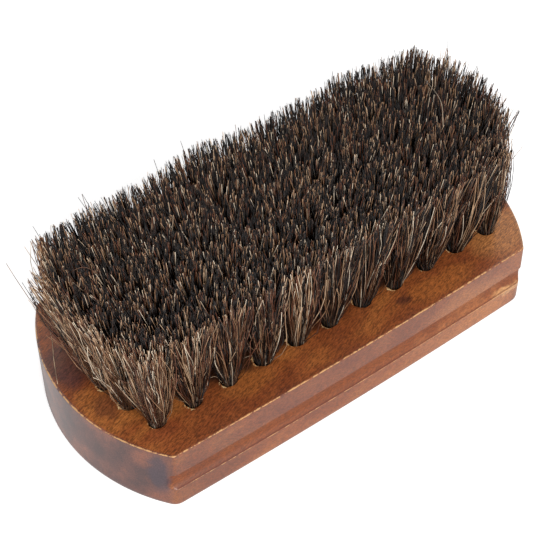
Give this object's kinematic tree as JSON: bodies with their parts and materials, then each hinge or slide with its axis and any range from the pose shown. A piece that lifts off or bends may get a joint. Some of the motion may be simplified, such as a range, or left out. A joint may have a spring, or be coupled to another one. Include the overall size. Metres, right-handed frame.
{
  "type": "shoe shine brush",
  "caption": "Hand brush for shining shoes: an oblong wooden block with bowed ends and finger grooves, set with tufts of dark horsehair.",
  "frame": {"origin": "middle of the flat back of the block, which the brush lies on", "axes": "+X along the block, +Y across it, +Z from the back up through the bristles"},
  "size_m": [0.13, 0.061, 0.05],
  "materials": {
    "stained_wood": "brown stain under a thin satin varnish, worn pale along the edges",
    "horsehair": "natural dark brown and black hair with pale strands, cut level",
    "staple_wire": "bright drawn wire"
  },
  "bodies": {
    "root": {"block": "stained_wood", "tuft_r1_c01": "horsehair", "tuft_r1_c02": "horsehair", "tuft_r1_c03": "horsehair", "tuft_r1_c04": "horsehair", "tuft_r1_c05": "horsehair", "tuft_r1_c06": "horsehair", "tuft_r1_c07": "horsehair", "tuft_r1_c08": "horsehair", "tuft_r1_c09": "horsehair", "tuft_r1_c10": "horsehair", "tuft_r1_c11": "horsehair", "tuft_r2_c01": "horsehair", "tuft_r2_c02": "horsehair", "tuft_r2_c03": "horsehair", "tuft_r2_c04": "horsehair", "tuft_r2_c05": "horsehair", "tuft_r2_c06": "horsehair", "tuft_r2_c07": "horsehair", "tuft_r2_c08": "horsehair", "tuft_r2_c09": "horsehair", "tuft_r2_c10": "horsehair", "tuft_r2_c11": "horsehair", "tuft_r3_c01": "horsehair", "tuft_r3_c02": "horsehair", "tuft_r3_c03": "horsehair", "tuft_r3_c04": "horsehair", "tuft_r3_c05": "horsehair", "tuft_r3_c06": "horsehair", "tuft_r3_c07": "horsehair", "tuft_r3_c08": "horsehair", "tuft_r3_c09": "horsehair", "tuft_r3_c10": "horsehair", "tuft_r3_c11": "horsehair", "tuft_r4_c01": "horsehair", "tuft_r4_c02": "horsehair", "tuft_r4_c03": "horsehair", "tuft_r4_c04": "horsehair", "tuft_r4_c05": "horsehair", "tuft_r4_c06": "horsehair", "tuft_r4_c07": "horsehair", "tuft_r4_c08": "horsehair", "tuft_r4_c09": "horsehair", "tuft_r4_c10": "horsehair", "tuft_r4_c11": "horsehair", "tuft_r5_c01": "horsehair", "tuft_r5_c02": "horsehair", "tuft_r5_c03": "horsehair", "tuft_r5_c04": "horsehair", "tuft_r5_c05": "horsehair", "tuft_r5_c06": "horsehair", "tuft_r5_c07": "horsehair", "tuft_r5_c08": "horsehair", "tuft_r5_c09": "horsehair", "tuft_r5_c10": "horsehair", "tuft_r5_c11": "horsehair", "staples": "staple_wire"}
  },
  "joints": []
}
